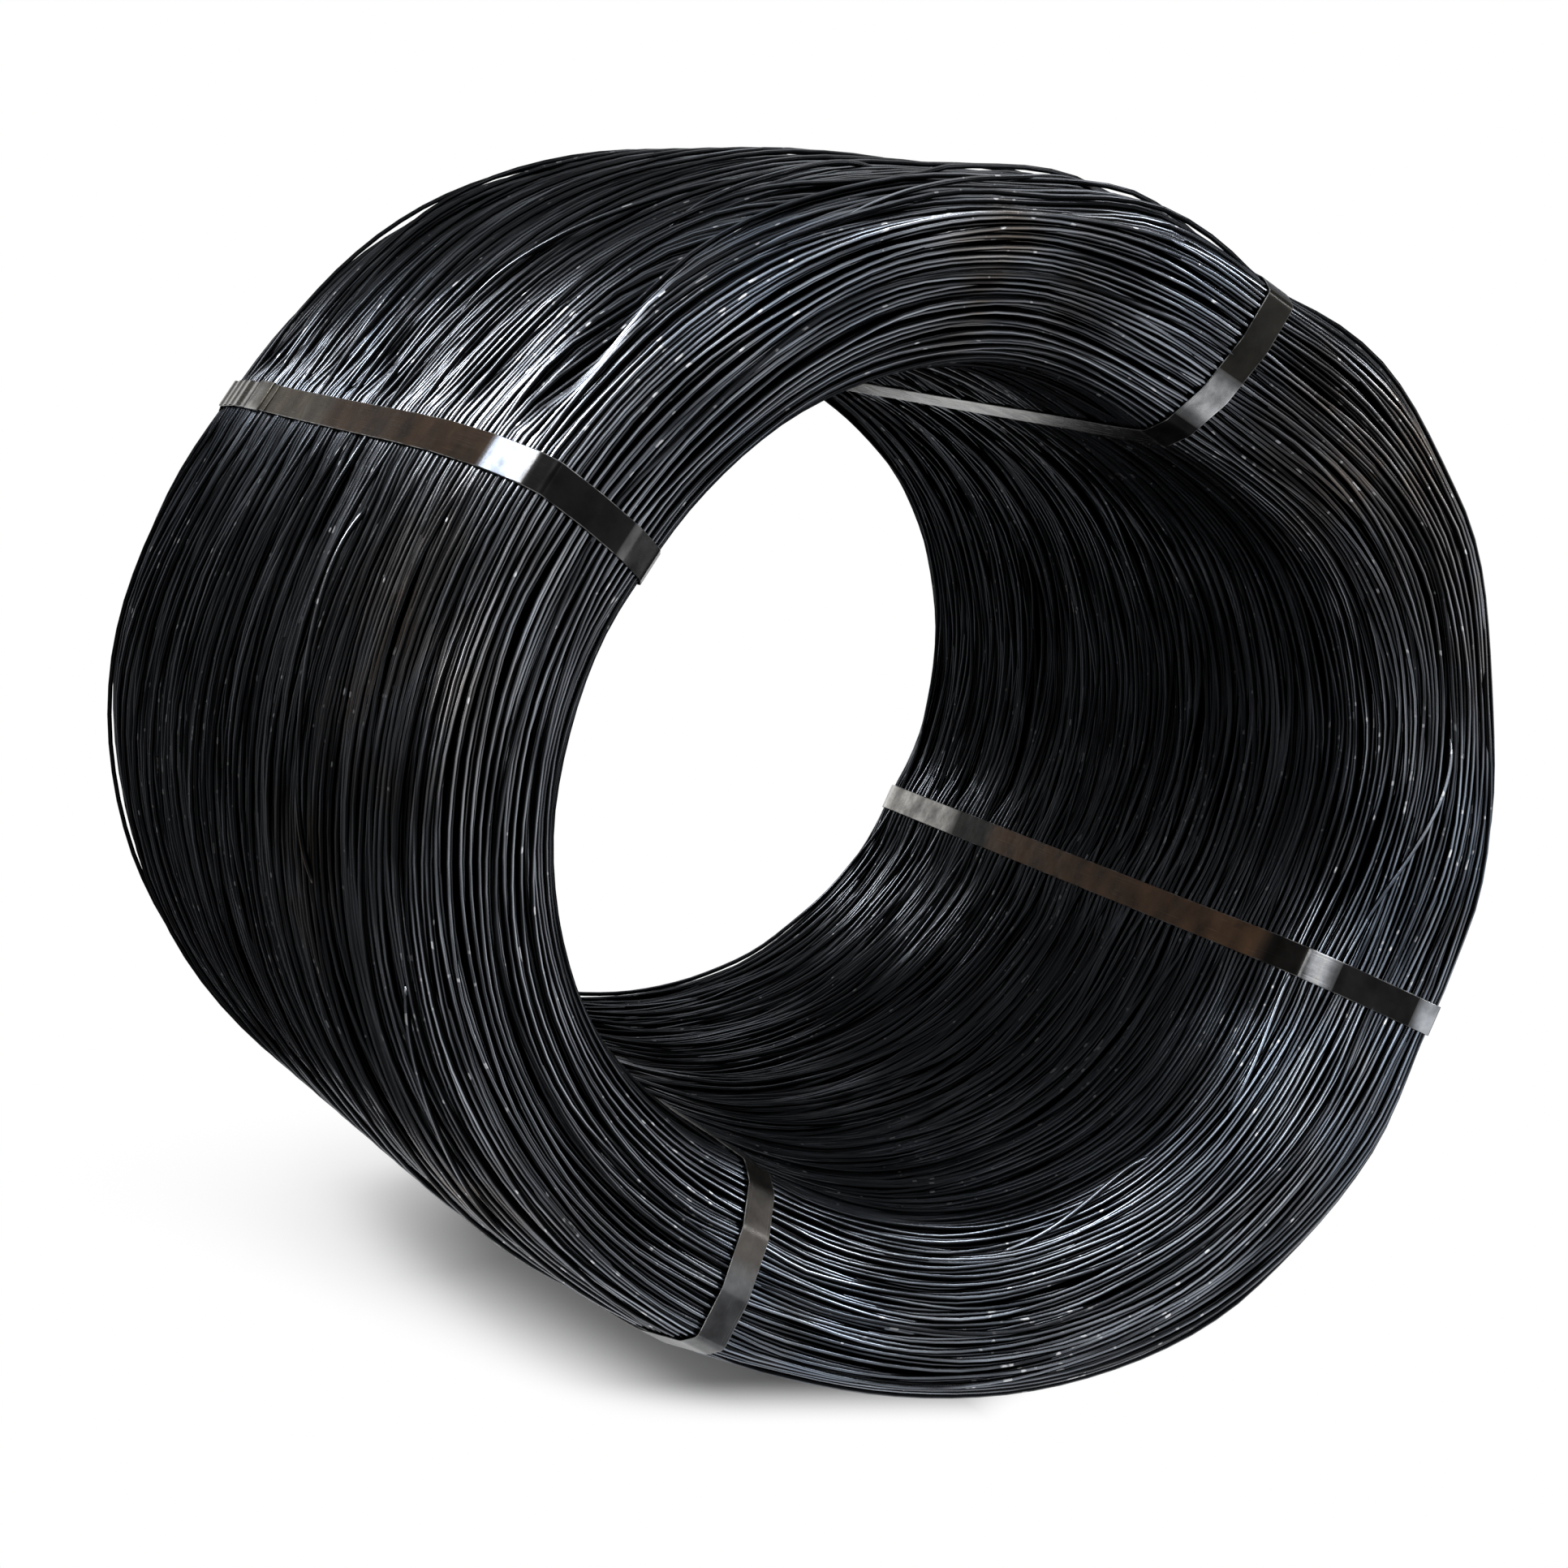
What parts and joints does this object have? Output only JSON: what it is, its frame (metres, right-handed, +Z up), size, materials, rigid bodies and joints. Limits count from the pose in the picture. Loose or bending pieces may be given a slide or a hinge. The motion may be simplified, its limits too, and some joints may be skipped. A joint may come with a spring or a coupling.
{
  "type": "coil of wire rod",
  "caption": "Coil of dark steel wire rod lying on its side, open through its bore and held by steel bands round its wall, each with a crimped seal.",
  "frame": {"origin": "on the floor, on the flat the coil lies on, straight below its axis and half way along it", "axes": "+Y along the coil's axis, through the bore; +Z up, with the coil lying on its side; the bands' seals are towards +Y"},
  "size_m": [1.2751, 1.0368, 1.2277],
  "materials": {
    "rod_steel": "semi-gloss blue-black mill scale",
    "band_steel": "blued cold-rolled strip, smooth",
    "seal_steel": "pressed sheet, smooth"
  },
  "bodies": {
    "root": {"rod_coil": "rod_steel", "strap_1": "band_steel", "strap_2": "band_steel", "strap_3": "band_steel", "strap_4": "band_steel", "seal_1": "seal_steel", "seal_2": "seal_steel", "seal_3": "seal_steel", "seal_4": "seal_steel"}
  },
  "joints": []
}
